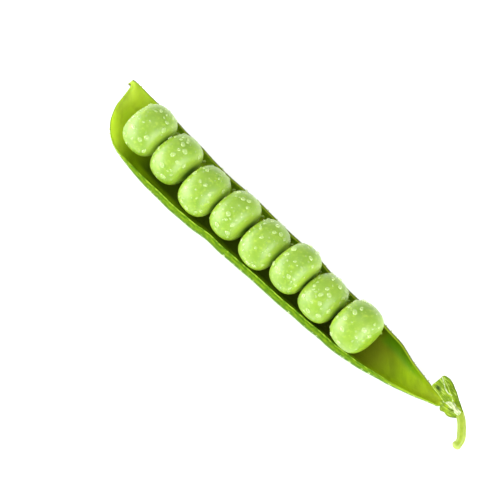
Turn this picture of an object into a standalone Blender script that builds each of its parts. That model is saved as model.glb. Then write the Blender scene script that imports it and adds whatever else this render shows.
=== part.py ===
"""Opened garden pea pod: one valve on its rounded back, with its row of peas, seed stalks, calyx and stem.

The pod is drawn in its own coordinates, in millimetres: x runs from the beak (0) to the cut stem, +y is the
side of the straight suture that carries the peas, and z is the height above the surface that the valve
lies on. One empty holds all the pieces and brings the middle of the pod's footprint to the world's origin.
"""
import math

import bmesh
import bpy
import numpy as np
from mathutils import Vector

MM = 0.001

# --- valve ---------------------------------------------------------------------------------------
DORSAL_EDGE = [(0.0, 6.0), (1.9, 1.8), (2.9, -0.4), (4.3, -2.3), (8.0, -4.9), (13.0, -6.0), (21.0, -6.4),
               (29.0, -6.1), (40.0, -4.7), (60.0, -3.1), (72.0, -1.6), (82.0, 0.8), (88.0, 3.1), (93.0, 5.6)]
SUTURE_EDGE = [(0.0, 7.2), (0.8, 7.75), (28.0, 7.8), (38.0, 8.4), (60.0, 8.9), (78.0, 9.0), (84.0, 8.0),
               (88.0, 7.4), (93.0, 6.9)]
VALVE_DEPTH = [(0.0, 1.2), (1.9, 2.5), (4.3, 4.2), (8.0, 5.5), (13.0, 6.1), (30.0, 5.95), (60.0, 5.6),
               (72.0, 5.1), (80.0, 4.2), (87.0, 2.8), (93.0, 1.3)]
VALVE_LENGTH = DORSAL_EDGE[-1][0]
RIM_HEIGHT_BEAK = 5.8       # height of the rim above the surface at the beak
RIM_HEIGHT_STEM = 5.2       # and at the stem end
DORSAL_WALL = 1.1
SUTURE_WALL = 0.6
FLOOR_WALL = 1.2
CAVITY_START = 1.6          # the cavity opens out of the solid beak here
CAVITY_END = 91.5           # and closes here, at the stem end
CAVITY_RUN_OUT = 3.0        # length over which it reaches its full depth
LEAST_CAVITY = 0.12         # depth of the groove that is left at the two ends
SECTION_POWER = 2.5         # of the superellipse across the valve: 2 is an ellipse, more is fuller
PRESS_LENGTH = 3.4          # how far along the rim the push of one pea is felt
FULL_WALL_WIDTH = 4.0       # where the valve is narrower than this, its walls thin down with it
STATION_CROWDING = 0.55     # 0 spaces the sections evenly, more draws them towards the two ends
STATIONS = 44
OUTER_STEPS = 18
INNER_STEPS = 14

# --- peas: station, place across, lift above the rim, half length, half width, half height ---------
PEAS = [
    (11.70, 1.95, 1.8, 4.00, 5.60, 5.00),
    (20.30, 1.75, 1.5, 3.90, 5.60, 4.90),
    (29.35, 1.20, 1.5, 3.85, 5.40, 4.80),
    (37.60, 2.50, 1.5, 3.75, 5.40, 4.90),
    (46.05, 2.50, 1.5, 3.85, 5.35, 4.90),
    (54.20, 3.50, 2.2, 3.70, 5.40, 4.90),
    (62.30, 3.45, 1.6, 3.90, 4.90, 4.80),
    (71.10, 4.10, 2.4, 4.15, 5.15, 4.90),
]
PEA_FREE_LENGTH = 1.5       # half length that a pea would have without its neighbours, over its real one
PEA_SQUASH_POWER = 5.0      # how sharply its flattened ends turn into its round sides
PEA_SIDES = 18
PEA_RINGS = 11
GAP = 0.3                   # clearance between pieces that touch on the real pod

# --- seed stalks ------------------------------------------------------------------------------------
STALK_RADIUS = 0.36
STALK_REACH = 0.75          # from its root to its end, across the pod
STALK_DROP = 0.7            # height of its root below the rim
STALK_RISE = 0.5            # height of its end above its root
STALK_LEAN = 0.2            # and its lean towards the beak
STALK_TAPER = (1.0, 0.8, 0.65)

# --- calyx, stamen remnants and stem ---------------------------------------------------------------
CUP_FRONT = Vector((93.6, 6.75, 4.55))
CUP_BACK = Vector((96.5, 7.75, 4.4))
CUP_PROFILE = [(0.0, 0.85), (0.25, 1.0), (0.6, 1.0), (0.85, 0.95), (1.0, 0.85)]     # place along it, radius
LEAF_THICKNESS = 0.4
LEAF_EDGE_THINNING = 0.45   # share of the thickness lost at the two side edges
LEAF_WIDEST = 0.6           # where along the leaf its middle half width is given
LEAF_ROWS = 8
LEAF_COLUMNS = 6
# name: its base, its tip, the way its inner face looks, half widths at base, middle and tip, cupping
SEPALS = {
    "upper_sepal_1": ((95.5, 8.45, 5.85), (89.5, 8.8, 6.3), (0.0, -0.25, 1.0), (0.45, 1.15, 0.9), 0.45),
    "upper_sepal_2": ((95.9, 9.45, 4.6), (90.2, 10.8, 5.0), (0.0, -0.9, 0.5), (0.5, 1.25, 0.9), 0.4),
    "side_sepal": ((96.5, 6.1, 4.4), (93.4, 5.15, 4.7), (-0.2, 1.0, 0.15), (0.5, 0.95, 0.5), 0.25),
    "lower_sepal_1": ((96.0, 6.3, 2.75), (91.2, 5.2, 2.4), (0.0, 0.2, 1.0), (0.45, 0.85, 0.35), 0.2),
    "lower_sepal_2": ((96.0, 8.1, 2.8), (91.0, 8.1, 2.8), (0.0, -0.3, 1.0), (0.45, 0.85, 0.35), 0.2),
}
SHEATH = ((96.9, 7.05, 6.05), (93.3, 6.8, 6.15), (0.0, 0.0, -1.0), (0.45, 0.55, 0.4), 0.15)
THREAD_RADIUS = 0.16
THREAD_PATH = [(94.6, 8.6, 7.0), (93.2, 8.75, 7.3), (91.6, 9.1, 7.5), (89.9, 9.9, 7.5)]
STEM_PATH = [(97.05, 7.75, 4.4), (97.4, 7.68, 4.33), (97.7, 7.4, 4.2), (98.1, 6.95, 4.05), (98.6, 6.3, 3.8),
             (99.1, 5.6, 3.5), (99.6, 4.9, 3.2), (100.05, 4.15, 2.85), (100.35, 3.5, 2.5), (100.45, 3.2, 2.3)]
STEM_RADIUS = 0.8
STEM_END_RADII = (0.86, 0.95, 0.85)     # the cut end is a little swollen

# name: colour, roughness
COLOURS = {
    "pod_flesh": ((0.20, 0.46, 0.03), 0.35),
    "pea_skin": ((0.40, 0.68, 0.12), 0.32),
    "seed_stalk": ((0.46, 0.66, 0.20), 0.50),
    "calyx_leaf": ((0.26, 0.42, 0.10), 0.60),
    "dry_stamen": ((0.74, 0.80, 0.52), 0.70),
    "stem_green": ((0.42, 0.60, 0.10), 0.50),
}


def make_material(name):
    """A Principled material in one of the pod's colours."""
    colour, roughness = COLOURS[name]
    material = bpy.data.materials.new(name)
    material.use_nodes = True
    shader = material.node_tree.nodes["Principled BSDF"]
    shader.inputs["Base Color"].default_value = (*colour, 1.0)
    shader.inputs["Roughness"].default_value = roughness
    shader.inputs["Metallic"].default_value = 0.0
    return material


def smooth(knots, x):
    """A monotone cubic through the knots, which never swings past them (Fritsch and Carlson's slopes)."""
    at, value = np.array(knots, dtype=float).T
    step = np.diff(at)
    slope = np.diff(value) / step
    before, after = slope[:-1], slope[1:]
    weight_a = 2.0 * step[1:] + step[:-1]
    weight_b = step[1:] + 2.0 * step[:-1]
    same_way = before * after > 0.0
    safe_before = np.where(same_way, before, 1.0)
    safe_after = np.where(same_way, after, 1.0)
    inner = (weight_a + weight_b) / (weight_a / safe_before + weight_b / safe_after)
    tangent = np.concatenate(([slope[0]], np.where(same_way, inner, 0.0), [slope[-1]]))
    x = np.clip(np.asarray(x, dtype=float), at[0], at[-1])
    i = np.clip(np.searchsorted(at, x, side="right") - 1, 0, len(step) - 1)
    t = (x - at[i]) / step[i]
    return (value[i] * (1 + 2 * t) * (1 - t) ** 2 + value[i + 1] * t * t * (3 - 2 * t)
            + step[i] * (tangent[i] * t * (1 - t) ** 2 - tangent[i + 1] * t * t * (1 - t)))


def rim_height(x):
    """Height of the valve's rim at station x: it falls evenly from the beak to the stem."""
    return RIM_HEIGHT_BEAK + (RIM_HEIGHT_STEM - RIM_HEIGHT_BEAK) * x / VALVE_LENGTH


def reach_at_rim(place):
    """Half width of a pea at the height of the rim, which lies below the pea's widest level."""
    _, _, lift, _, half_width, half_height = place
    return half_width * math.sqrt(1.0 - (lift / half_height) ** 2)


def suture_edge(x):
    """Outer edge of the suture side, pushed out where a pea needs more room than the plain outline leaves."""
    edge = smooth(SUTURE_EDGE, x)
    for place in PEAS:
        push = place[1] + reach_at_rim(place) + GAP + SUTURE_WALL - float(smooth(SUTURE_EDGE, place[0]))
        edge = edge + max(push, 0.0) * np.exp(-((x - place[0]) / PRESS_LENGTH) ** 2)
    return edge


def dorsal_edge(x):
    """Outer edge of the curved side, pushed out in the same way."""
    edge = smooth(DORSAL_EDGE, x)
    for place in PEAS:
        push = float(smooth(DORSAL_EDGE, place[0])) + DORSAL_WALL + GAP - (place[1] - reach_at_rim(place))
        edge = edge - max(push, 0.0) * np.exp(-((x - place[0]) / PRESS_LENGTH) ** 2)
    return edge


def make_object(name, vertices, faces, material, root, centre=(0.0, 0.0, 0.0)):
    """A smooth-shaded mesh object from millimetre points around its own centre."""
    mesh = bpy.data.meshes.new(name)
    mesh.from_pydata([tuple(c * MM for c in v) for v in vertices], [], faces)
    shape = bmesh.new()
    shape.from_mesh(mesh)
    bmesh.ops.recalc_face_normals(shape, faces=shape.faces)
    shape.to_mesh(mesh)
    shape.free()
    mesh.materials.append(material)
    mesh.shade_smooth()
    mesh.set_sharp_from_angle(angle=math.radians(40.0))
    thing = bpy.data.objects.new(name, mesh)
    thing.location = [c * MM for c in centre]
    thing.parent = root
    bpy.context.scene.collection.objects.link(thing)
    return thing


def loft(name, rings, material, root):
    """A closed solid through equal rings of points, the first and the last filled as flat caps."""
    count, around, _ = rings.shape
    faces = []
    for i in range(count - 1):
        for j in range(around):
            k = (j + 1) % around
            faces.append((i * around + j, (i + 1) * around + j, (i + 1) * around + k, i * around + k))
    faces.append(tuple(range(around)))
    faces.append(tuple((count - 1) * around + j for j in reversed(range(around))))
    return make_object(name, rings.reshape(-1, 3), faces, material, root)


def tube(name, path, radii, sides, material, root):
    """A round rod along the path, with one radius for each of its points."""
    path = np.array([tuple(p) for p in path], dtype=float)
    ahead = np.gradient(path, axis=0)
    ahead /= np.linalg.norm(ahead, axis=1)[:, None]
    side = np.cross(ahead, (0.0, 0.0, 1.0))
    side /= np.linalg.norm(side, axis=1)[:, None]
    up = np.cross(side, ahead)
    turn = np.linspace(0.0, 2.0 * math.pi, sides, endpoint=False)
    round_side = np.cos(turn)[None, :, None] * side[:, None, :] + np.sin(turn)[None, :, None] * up[:, None, :]
    rings = path[:, None, :] + np.array(radii)[:, None, None] * round_side
    return loft(name, rings, material, root)


def half_round(steps):
    """Across and down values of the superellipse from the dorsal edge (-1) to the suture edge (+1)."""
    turn = np.linspace(math.pi, 0.0, steps + 1)
    power = 2.0 / SECTION_POWER
    across = np.sign(np.cos(turn)) * np.abs(np.cos(turn)) ** power
    down = np.abs(np.sin(turn)) ** power
    down[0] = down[-1] = 0.0
    return across, down


def build_valve(material, root):
    """The hollow valve: each section runs round the outside from edge to edge, then back along the inside.

    The outside is deeper than the rim is high along the middle, so it is cut flat at the surface it lies on.
    """
    share = np.linspace(0.0, 1.0, STATIONS)
    crowded = (1.0 - np.cos(math.pi * share)) / 2.0
    x = VALVE_LENGTH * ((1.0 - STATION_CROWDING) * share + STATION_CROWDING * crowded)
    rim = rim_height(x)
    dorsal, suture = dorsal_edge(x), suture_edge(x)
    depth = smooth(VALVE_DEPTH, x)
    open_share = np.clip(np.minimum(x - CAVITY_START, CAVITY_END - x) / CAVITY_RUN_OUT, 0.0, 1.0)
    cavity = np.maximum((depth - FLOOR_WALL) * np.sqrt(open_share), LEAST_CAVITY)
    wall_share = np.minimum(1.0, (suture - dorsal) / FULL_WALL_WIDTH)

    def arc(low, high, deep, steps):
        across, down = half_round(steps)
        middle, half = (low + high) / 2.0, (high - low) / 2.0
        y = middle[:, None] + half[:, None] * across[None, :]
        z = np.maximum(rim[:, None] - deep[:, None] * down[None, :], 0.0)
        return np.stack([np.broadcast_to(x[:, None], y.shape), y, z], axis=2)

    outside = arc(dorsal, suture, depth, OUTER_STEPS)
    inside = arc(dorsal + DORSAL_WALL * wall_share, suture - SUTURE_WALL * wall_share, cavity, INNER_STEPS)
    return loft("pod_valve", np.concatenate([outside, inside[:, ::-1]], axis=1), material, root)


def pea_reach(way, free, half_length):
    """Distance from a pea's centre to its skin: a soft minimum of an ellipsoid and two flat planes."""
    round_part = np.sqrt(((way / free) ** 2).sum(axis=-1))
    flat_part = np.abs(way[..., 0]) / half_length
    return (round_part ** PEA_SQUASH_POWER + flat_part ** PEA_SQUASH_POWER) ** (-1.0 / PEA_SQUASH_POWER)


def build_pea(number, place, material, root):
    """One pea: an ellipsoid whose two ends along the row are pressed flat by its neighbours."""
    station, across, lift, *half_sizes = place
    half_length = half_sizes[0]
    free = np.array(half_sizes) * (PEA_FREE_LENGTH, 1.0, 1.0)
    rings = np.linspace(0.0, math.pi, PEA_RINGS + 1)[1:-1]
    turn = np.linspace(0.0, 2.0 * math.pi, PEA_SIDES, endpoint=False)
    ring, angle = np.meshgrid(rings, turn, indexing="ij")
    way = np.stack([np.cos(ring), np.sin(ring) * np.cos(angle), np.sin(ring) * np.sin(angle)], axis=2)
    points = (way * pea_reach(way, free, half_length)[..., None]).reshape(-1, 3).tolist()
    stem_pole = len(points)
    beak_pole = stem_pole + 1
    for pole in np.array([(1.0, 0.0, 0.0), (-1.0, 0.0, 0.0)]):
        points.append(tuple(pole * pea_reach(pole, free, half_length)))
    faces = []
    for j in range(PEA_SIDES):
        k = (j + 1) % PEA_SIDES
        faces.append((stem_pole, j, k))
        for i in range(PEA_RINGS - 2):
            row, below = i * PEA_SIDES, (i + 1) * PEA_SIDES
            faces.append((row + j, below + j, below + k, row + k))
        last = (PEA_RINGS - 2) * PEA_SIDES
        faces.append((beak_pole, last + k, last + j))
    centre = (station, across, rim_height(station) + lift)
    return make_object(f"pea_{number}", points, faces, material, root, centre)


def build_seed_stalk(number, place, material, root):
    """The short stalk in the notch beside a pea, from the suture's inner wall towards the pea's shoulder."""
    x = place[0] + place[3] + GAP / 2.0
    y = float(suture_edge(x)) - SUTURE_WALL - GAP - STALK_RADIUS
    z = rim_height(x) - STALK_DROP
    way = Vector((-STALK_LEAN, -STALK_REACH, STALK_RISE))
    path = [Vector((x, y, z)) + way * share for share in np.linspace(0.0, 1.0, len(STALK_TAPER))]
    radii = [STALK_RADIUS * part for part in STALK_TAPER]
    return tube(f"seed_stalk_{number}", path, radii, 8, material, root)


def build_cup(material, root):
    """The small solid bell at the stem end, from which the sepals spring; it bends level towards the stem."""
    path = []
    for share, _ in CUP_PROFILE:
        point = CUP_FRONT.lerp(CUP_BACK, share)
        point.y = CUP_BACK.y + (CUP_FRONT.y - CUP_BACK.y) * (1.0 - share) ** 2
        path.append(point)
    return tube("calyx_cup", path, [radius for _, radius in CUP_PROFILE], 14, material, root)


def build_leaf(name, shape, material, root):
    """A thin cupped leaf from its base to its tip, its two faces a leaf's thickness apart."""
    base, tip, facing, half_widths, cupping = shape
    base, tip = Vector(base), Vector(tip)
    along = (tip - base).normalized()
    across = along.cross(Vector(facing)).normalized()
    inward = across.cross(along)
    rings = []
    for row in range(LEAF_ROWS):
        s = row / (LEAF_ROWS - 1)
        half = float(smooth(list(zip((0.0, LEAF_WIDEST, 1.0), half_widths)), s))
        inner, outer = [], []
        for column in range(LEAF_COLUMNS):
            t = 2.0 * column / (LEAF_COLUMNS - 1) - 1.0
            point = base.lerp(tip, s) + across * (half * t) + inward * (cupping * half * t * t)
            step = inward * (LEAF_THICKNESS / 2.0 * (1.0 - LEAF_EDGE_THINNING * t * t))
            inner.append(tuple(point + step))
            outer.append(tuple(point - step))
        rings.append(inner + outer[::-1])
    return loft(name, np.array(rings), material, root)


def build_stem(material, root):
    """The cut stem, which bends away from the calyx, droops all the way and is swollen at its end."""
    radii = [STEM_RADIUS] * (len(STEM_PATH) - len(STEM_END_RADII)) + list(STEM_END_RADII)
    return tube("stem", STEM_PATH, radii, 12, material, root)


def centre_on_origin(root, pieces):
    """Move the root so that the middle of the whole footprint, on the surface, is the world's origin."""
    bpy.context.view_layer.update()
    points = np.array([tuple(piece.matrix_world @ v.co) for piece in pieces for v in piece.data.vertices])
    low, high = points.min(axis=0), points.max(axis=0)
    root.location = (-(low[0] + high[0]) / 2.0, -(low[1] + high[1]) / 2.0, -low[2])
    bpy.context.view_layer.update()


def build_pod():
    """Every piece of the opened pod, held by one empty."""
    for old in list(bpy.data.objects):
        bpy.data.objects.remove(old, do_unlink=True)
    materials = {name: make_material(name) for name in COLOURS}
    root = bpy.data.objects.new("pea_pod", None)
    bpy.context.scene.collection.objects.link(root)
    pieces = [build_valve(materials["pod_flesh"], root), build_cup(materials["calyx_leaf"], root)]
    for number, place in enumerate(PEAS, start=1):
        pieces.append(build_pea(number, place, materials["pea_skin"], root))
        pieces.append(build_seed_stalk(number, place, materials["seed_stalk"], root))
    pieces += [build_leaf(name, shape, materials["calyx_leaf"], root) for name, shape in SEPALS.items()]
    pieces.append(build_leaf("stamen_sheath", SHEATH, materials["dry_stamen"], root))
    thread_radii = [THREAD_RADIUS] * len(THREAD_PATH)
    pieces.append(tube("stamen_thread", THREAD_PATH, thread_radii, 6, materials["dry_stamen"], root))
    pieces.append(build_stem(materials["stem_green"], root))
    centre_on_origin(root, pieces)


build_pod()
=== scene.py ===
# %% [markdown]
# # An opened pea pod
#
# A garden pea pod is one folded leaf. When it is opened along its two seams it falls into two boats, and
# this is one of them, lying on its rounded back with eight peas still tied to the straight seam. The
# working model already says how big everything is and where it sits. This lesson builds the skin that the
# eye sees: the glossy wall, the squashed peas, the wilted calyx, the cut stem and the dew.
#
# Lengths are in millimetres while a shape is worked out, and become metres when it turns into a mesh.

# %% Load the working model
import math

import bpy
import numpy as np
from mathutils import Matrix, Vector


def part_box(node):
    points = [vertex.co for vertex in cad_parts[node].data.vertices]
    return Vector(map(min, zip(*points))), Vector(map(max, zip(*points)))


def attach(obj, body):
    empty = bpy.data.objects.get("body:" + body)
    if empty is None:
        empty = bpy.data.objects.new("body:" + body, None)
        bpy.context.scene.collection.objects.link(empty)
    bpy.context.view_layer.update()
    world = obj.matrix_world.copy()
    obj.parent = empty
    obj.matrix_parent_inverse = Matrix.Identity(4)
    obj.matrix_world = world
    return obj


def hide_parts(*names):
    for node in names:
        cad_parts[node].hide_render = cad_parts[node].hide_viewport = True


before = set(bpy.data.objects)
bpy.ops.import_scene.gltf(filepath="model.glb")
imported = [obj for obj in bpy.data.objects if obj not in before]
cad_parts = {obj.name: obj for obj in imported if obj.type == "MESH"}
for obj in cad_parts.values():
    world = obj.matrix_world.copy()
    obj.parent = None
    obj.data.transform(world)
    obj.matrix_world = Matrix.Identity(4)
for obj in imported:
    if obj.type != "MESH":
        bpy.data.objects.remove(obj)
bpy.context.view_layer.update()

MM = 0.001
BODY = "root"

# %% [markdown]
# ## The camera
#
# The pod is looked at steeply from above, a little from its side, so that it runs from the upper left to
# the lower right. A long lens keeps its far end nearly as large as its near end. The camera could be aimed
# with a constraint; here its three directions are worked out from two angles, so that the view is exact.

# %% Camera
VIEW_ELEVATION = math.radians(68.0)
VIEW_TURN = math.radians(-48.1)
VIEW_DISTANCE = 277.8
AIM = (-5.77, -2.35, 6.0)
LENS = 100.0
SENSOR = 36.0
NEAREST = 0.01  # nothing closer than this, in metres, is drawn


def make_camera():
    """A camera whose right edge is level, and whose line of sight falls by the view's elevation."""
    right = Vector((math.cos(VIEW_TURN), -math.sin(VIEW_TURN), 0.0))
    away = Vector((math.sin(VIEW_TURN), math.cos(VIEW_TURN), 0.0))
    sight = math.cos(VIEW_ELEVATION) * away - math.sin(VIEW_ELEVATION) * Vector((0.0, 0.0, 1.0))
    up = right.cross(sight)
    data = bpy.data.cameras.new("camera")
    data.lens = LENS
    data.sensor_width = SENSOR
    data.clip_start = NEAREST
    camera = bpy.data.objects.new("camera", data)
    camera.matrix_world = Matrix((right, up, -sight)).transposed().to_4x4()
    camera.location = (Vector(AIM) - sight * VIEW_DISTANCE) * MM
    bpy.context.scene.collection.objects.link(camera)
    bpy.context.scene.camera = camera
    return camera


camera = make_camera()
print("camera at, mm:", [round(c / MM, 1) for c in camera.location])

# %% [markdown]
# ## Light
#
# Wet, waxy skins are read from their reflections. One big soft box stands low on the left and gives each
# pea its broad bright cheek, a second one beyond the stem gives the softer gleam on the other side, and a
# bright sky fills the rest. Small lamps would be simpler, but they would leave hard white dots and dark
# shadows; large boxes leave wide gleams and keep the floor nearly without shadow.

# %% Light
SKY = 0.72
SOFT_BOXES = {  # name: where it stands, its width, its height, its power in watts
    "left_box": ((-300.0, -300.0, 140.0), 380.0, 320.0, 2.65),
    "stem_box": ((420.0, -60.0, 245.0), 520.0, 400.0, 3.8),
    "beak_box": ((-420.0, -60.0, 130.0), 280.0, 220.0, 0.9),
    "top_box": ((-60.0, 160.0, 520.0), 300.0, 300.0, 0.5),
}


def soft_box(name, place, width, height, power):
    """A rectangular lamp that faces the pod."""
    data = bpy.data.lights.new(name, "AREA")
    data.shape = "RECTANGLE"
    data.size = width * MM
    data.size_y = height * MM
    data.energy = power
    lamp = bpy.data.objects.new(name, data)
    lamp.location = Vector(place) * MM
    lamp.rotation_euler = (-Vector(place)).to_track_quat("-Z", "Y").to_euler()
    bpy.context.scene.collection.objects.link(lamp)


for name, values in SOFT_BOXES.items():
    soft_box(name, *values)
world = bpy.data.worlds.new("sky")
world.use_nodes = True
world.node_tree.nodes["Background"].inputs["Color"].default_value = (1.0, 1.0, 1.0, 1.0)
world.node_tree.nodes["Background"].inputs["Strength"].default_value = SKY
bpy.context.scene.world = world
bpy.context.scene.view_settings.view_transform = "Standard"
print("soft boxes:", len(SOFT_BOXES))

# %% [markdown]
# ## Shader maths as Python
#
# A finish is a formula: this colour where that pattern is high, a duller skin near that edge. Its nodes
# could be placed and joined one by one in the editor, but a formula is easier to read and to change.
# `Wire` wraps one output of a node. Its operators add Math nodes, and `node` adds any other node from its
# type, its settings and its inputs.

# %% A node's output as a Python value
class Wire:
    """One output of a shader node. Python's operators on it add Math nodes to the tree being built."""

    tree = None

    def __init__(self, socket):
        self.socket = socket

    @classmethod
    def node(cls, kind, settings=None, inputs=None, output=0):
        """A shader node of that kind: its settings first, then a value or a wire for each of its inputs."""
        made = cls.tree.nodes.new("ShaderNode" + kind)
        for name, value in (settings or {}).items():
            if name == "stops":
                while len(made.color_ramp.elements) < len(value):
                    made.color_ramp.elements.new(1.0)
                for element, (position, colour) in zip(made.color_ramp.elements, value):
                    element.position = position
                    element.color = (*colour, 1.0)
            else:
                setattr(made, name, value)
        for name, value in (inputs or {}).items():
            cls.feed(made.inputs[name], value)
        return cls(made.outputs[output])

    @classmethod
    def feed(cls, socket, value):
        """Joins a wire to an input, or sets its plain value; a colour of three parts gets its alpha."""
        if isinstance(value, Wire):
            cls.tree.links.new(value.socket, socket)
        elif socket.type == "RGBA" and len(value) == 3:
            socket.default_value = (*value, 1.0)
        else:
            socket.default_value = value

    def math(self, operation, other):
        """A Math node on this wire and another wire or number."""
        return Wire.node("Math", {"operation": operation}, {0: self, 1: other})

    def __add__(self, other):
        return self.math("ADD", other)

    def __mul__(self, other):
        return self.math("MULTIPLY", other)

    def __sub__(self, other):
        return self.math("SUBTRACT", other)

    def __rsub__(self, other):
        return Wire.node("Math", {"operation": "SUBTRACT"}, {0: other, 1: self})

    __radd__ = __add__
    __rmul__ = __mul__

    def step(self, low, high):
        """0 below low and 1 above high, with a smooth rise between; low may be the larger one."""
        if low > high:
            return 1.0 - self.step(high, low)
        return Wire.node("MapRange", {"interpolation_type": "SMOOTHSTEP"},
                         {"Value": self, "From Min": low, "From Max": high})


print("operators on a wire:", [name for name in vars(Wire) if name in ("__add__", "__sub__", "__mul__")])

# %% Patterns, colours and materials
def mix(first, second, share):
    """The first colour where share is 0, the second where it is 1."""
    return Wire.node("Mix", {"data_type": "RGBA"}, {0: share, 6: first, 7: second}, output=2)


def place_mm():
    """The place on the piece, in millimetres."""
    spot = Wire.node("TexCoord", output=3)
    return Wire.node("VectorMath", {"operation": "SCALE"}, {0: spot, "Scale": 1.0 / MM})


def stretched(vector, x, y, z):
    """The vector with each of its parts multiplied."""
    return Wire.node("VectorMath", {"operation": "MULTIPLY"}, {0: vector, 1: (x, y, z)})


def noise(vector, per_mm, detail=2.0, rough=0.5):
    """Cloudy values from 0 to 1, with about per_mm clouds to the millimetre."""
    return Wire.node("TexNoise", {},
                     {"Vector": vector, "Scale": per_mm, "Detail": detail, "Roughness": rough})


def paint(name):
    """A value that the mesh carries at each of its points."""
    return Wire.node("Attribute", {"attribute_name": name}, output=2)


def bump(height, depth_mm):
    """A relief: height from 0 to 1 stands for depth_mm."""
    return Wire.node("Bump", {}, {"Height": height, "Distance": depth_mm * MM})


def below_skin(weight, reach_mm, colour_reach):
    """The inputs that let light wander below the skin: how much of it, how far, and how far each colour."""
    return {"Subsurface Weight": weight, "Subsurface Scale": reach_mm * MM, "Subsurface Radius": colour_reach}


def srgb(red, green, blue):
    """A colour as a paint chart gives it, 0 to 255, as the light values that a shader needs."""
    share = np.array([red, green, blue]) / 255.0
    return tuple(np.where(share <= 0.04045, share / 12.92, ((share + 0.055) / 1.055) ** 2.4).tolist())


def new_material(name, inputs):
    """A Principled material; inputs is a function that gives its inputs, called when the tree is ready."""
    material = bpy.data.materials.new(name)
    material.use_nodes = True
    Wire.tree = material.node_tree
    shader = Wire.tree.nodes["Principled BSDF"]
    for socket, value in inputs().items():
        Wire.feed(shader.inputs[socket], value)
    return material


print("middle grey of a paint chart as light:", round(srgb(128, 128, 128)[0], 3))

# %% [markdown]
# ## Floor
#
# The pod lies on a wide sheet, nearly white and quite dull. A table top with a grain would be just as easy,
# but its colour would creep into the wet skins. A plain square is enough.

# %% Floor
FLOOR_SIZE = 3000.0


def floor_finish():
    return {"Base Color": srgb(252, 252, 251), "Roughness": 1.0, "Specular IOR Level": 0.0}


def make_floor():
    half = FLOOR_SIZE / 2.0 * MM
    mesh = bpy.data.meshes.new("floor")
    mesh.from_pydata([(-half, -half, 0.0), (half, -half, 0.0), (half, half, 0.0), (-half, half, 0.0)], [],
                     [(0, 1, 2, 3)])
    mesh.materials.append(new_material("floor_paint", floor_finish))
    floor = bpy.data.objects.new("floor", mesh)
    bpy.context.scene.collection.objects.link(floor)


make_floor()
print("floor, mm:", FLOOR_SIZE, "by", FLOOR_SIZE)

# %% [markdown]
# ## From a grid of points to a piece
#
# Wall, peas, leaves and stem could be modelled by pushing points about and smoothing them. Here everything
# is a skin of rings: a ring of points for each place along the piece, all worked out as one numpy array, so
# that a whole pea is one formula. The last step closes the two ends, makes sure that the faces look
# outwards, and stores any painted values.

# %% Faces of a skin of rings
def ring_faces(count, around):
    """Quads between the rings, a fan of triangles to one more point at each end, and the corners' UVs."""
    i, j = np.meshgrid(np.arange(count - 1), np.arange(around), indexing="ij")
    steps = np.array([(0, 0), (1, 0), (1, 1), (0, 1)])
    row = i.reshape(-1, 1) + steps[:, 0]
    column = j.reshape(-1, 1) + steps[:, 1]
    quads = row * around + column % around
    quad_uv = np.stack([row / (count - 1), column / around], axis=-1)
    edge = np.arange(around)
    following = (edge + 1) % around
    tip = np.full(around, count * around)
    first = np.stack([tip, edge, following], axis=1)
    last = np.stack([tip + 1, (count - 1) * around + following, (count - 1) * around + edge], axis=1)
    turn = np.stack([edge + 0.5, edge, edge + 1.0], axis=1) / around
    first_uv = np.stack([np.zeros((around, 3)), turn], axis=-1)
    last_uv = np.stack([np.ones((around, 3)), turn[:, [0, 2, 1]]], axis=-1)
    uv = np.concatenate([part.reshape(-1, 2) for part in (quad_uv, first_uv, last_uv)])
    return quads.tolist() + first.tolist() + last.tolist(), uv


def signed_volume(points, faces):
    """Six times the volume, as a sum of a . (b x c) over triangles: positive where faces look outwards."""
    triangles = [face[:3] for face in faces]
    triangles += [[face[0], face[2], face[3]] for face in faces if len(face) == 4]
    a, b, c = points[np.array(triangles)].transpose(1, 0, 2)
    return float((a * np.cross(b, c)).sum())


def uv_backwards(uv, faces):
    """The corners' UVs in the order that faces turned inside out need."""
    sizes = np.array([len(face) for face in faces])
    starts = np.concatenate([[0], np.cumsum(sizes)[:-1]])
    inside = np.arange(sizes.sum()) - np.repeat(starts, sizes)
    return uv[np.repeat(starts + sizes - 1, sizes) - inside]


print("faces of three rings of four points:", len(ring_faces(3, 4)[0]))

# %% From points and faces to a finished piece
def finish_piece(name, points, faces, material, uv=None, painted=None, stands_for=()):
    """A smooth mesh in metres that rides on the pod, with its finish; the working parts that it stands for
    are hidden.
    """
    if signed_volume(points, faces) < 0.0:
        faces = [face[::-1] for face in faces]
        uv = None if uv is None else uv_backwards(uv, faces)
    mesh = bpy.data.meshes.new(name)
    mesh.from_pydata((points * MM).tolist(), [], faces)
    if uv is not None:
        mesh.uv_layers.new(name="UVMap").data.foreach_set("uv", uv.astype(np.float32).ravel())
    for key, values in (painted or {}).items():
        layer = mesh.attributes.new(key, "FLOAT", "POINT")
        layer.data.foreach_set("value", values.astype(np.float32).ravel())
    mesh.shade_smooth()
    mesh.materials.append(material)
    piece = bpy.data.objects.new(name, mesh)
    bpy.context.scene.collection.objects.link(piece)
    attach(piece, BODY)
    if stands_for:
        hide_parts(*stands_for)
    return piece


def ring_piece(name, rings, material, painted=None, stands_for=()):
    """A closed skin through the rings, whose two ends are drawn together in their own middles."""
    count, around, _ = rings.shape
    ends = rings[[0, -1]].mean(axis=1)
    faces, uv = ring_faces(count, around)
    points = np.concatenate([rings.reshape(-1, 3), ends])
    values = {key: np.concatenate([array.ravel(), array[[0, -1]].mean(axis=1)])
              for key, array in (painted or {}).items()}
    return finish_piece(name, points, faces, material, uv, values, stands_for)


def node_box(node):
    """A working part's lowest and highest corner in millimetres."""
    return tuple(np.array(corner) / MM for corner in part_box(node))


def full_turn(count):
    """That many angles, evenly shared round a full turn."""
    return np.linspace(0.0, 2.0 * math.pi, count, endpoint=False)


def unit(vectors):
    """The same directions, one long."""
    return vectors / np.linalg.norm(vectors, axis=-1, keepdims=True)


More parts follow.
